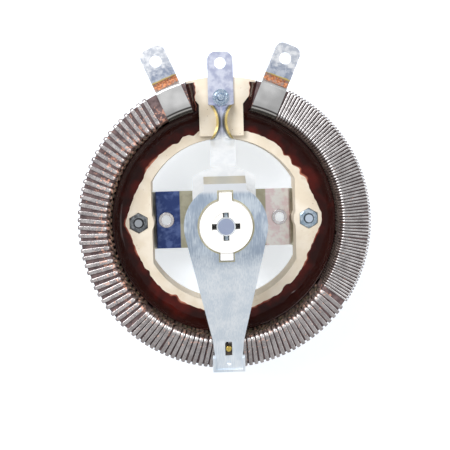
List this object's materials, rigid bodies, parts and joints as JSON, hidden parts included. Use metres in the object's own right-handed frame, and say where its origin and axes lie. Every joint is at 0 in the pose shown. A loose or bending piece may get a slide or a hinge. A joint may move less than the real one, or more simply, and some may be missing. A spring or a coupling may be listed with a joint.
{
  "type": "wirewound power rheostat",
  "caption": "Panel-mounted rotary power resistor: a graded wire winding on a ceramic ring with a turning contact arm, three lug terminals and a strap mount.",
  "frame": {"origin": "on the shaft axis, in the plane that rests on the panel, midway between the two panel screws", "axes": "+Z away from the panel towards the contact arm, +Y towards the centre terminal, +X to the right-hand end terminal seen from the arm's side"},
  "size_m": [0.1524, 0.1685, 0.0824],
  "materials": {
    "cream_ceramic": "matt, slightly speckled pressed body",
    "core_ceramic": "matt",
    "dark_enamel": "very dark red-brown glass enamel, glossy, thin and rusty at its edge",
    "resistance_wire": "dull brownish grey with a ground bright track",
    "satin_band": "satin, softly polished",
    "copper_braze": "rough orange copper braze",
    "tinned_steel": "dull tinned plate with fine mottling",
    "zinc_plate": "pale blue zinc, finely brushed",
    "zinc_screw": "pale blue zinc",
    "strap_steel": "zinc plate with an olive cast",
    "bright_insert": "bright plated",
    "plain_steel": "plain steel",
    "bearing_bronze": "turned bronze",
    "white_ceramic": "smooth white steatite",
    "shaft_steel": "turned and plated, faint blue",
    "brush_graphite": "metal graphite, matt",
    "brass_pin": "bright brass"
  },
  "bodies": {
    "stator": {"ceramic_base": "cream_ceramic", "ceramic_core": "core_ceramic", "enamel_coating": "dark_enamel", "winding_fine_a": "resistance_wire", "winding_fine_b": "resistance_wire", "winding_medium": "resistance_wire", "winding_coarse": "resistance_wire", "left_end_band": "satin_band", "right_end_band": "satin_band", "left_braze": "copper_braze", "right_braze": "copper_braze", "left_lug": "tinned_steel", "right_lug": "tinned_steel", "centre_lead": "zinc_plate", "centre_screw": "zinc_screw", "centre_washer": "zinc_screw", "centre_nut": "zinc_screw", "mounting_strap": "strap_steel", "panel_inserts": "bright_insert", "base_bolts": "plain_steel", "base_nuts": "plain_steel", "bushing": "bearing_bronze", "stop_stud": "plain_steel"},
    "rotor": {"shaft": "shaft_steel", "cross_pin": "plain_steel", "hub": "white_ceramic", "contact_arm": "zinc_plate", "track_brush": "brush_graphite", "brush_pin": "brass_pin", "collector_brush": "brush_graphite", "stop_finger": "plain_steel", "thrust_washer": "bearing_bronze", "retaining_ring": "plain_steel"}
  },
  "joints": [
    {"name": "shaft_turn", "type": "hinge", "parent": "stator", "child": "rotor", "pos_m": [0, 0, 0], "axis": [0, 0, 1], "range_deg": [-155, 155]}
  ]
}
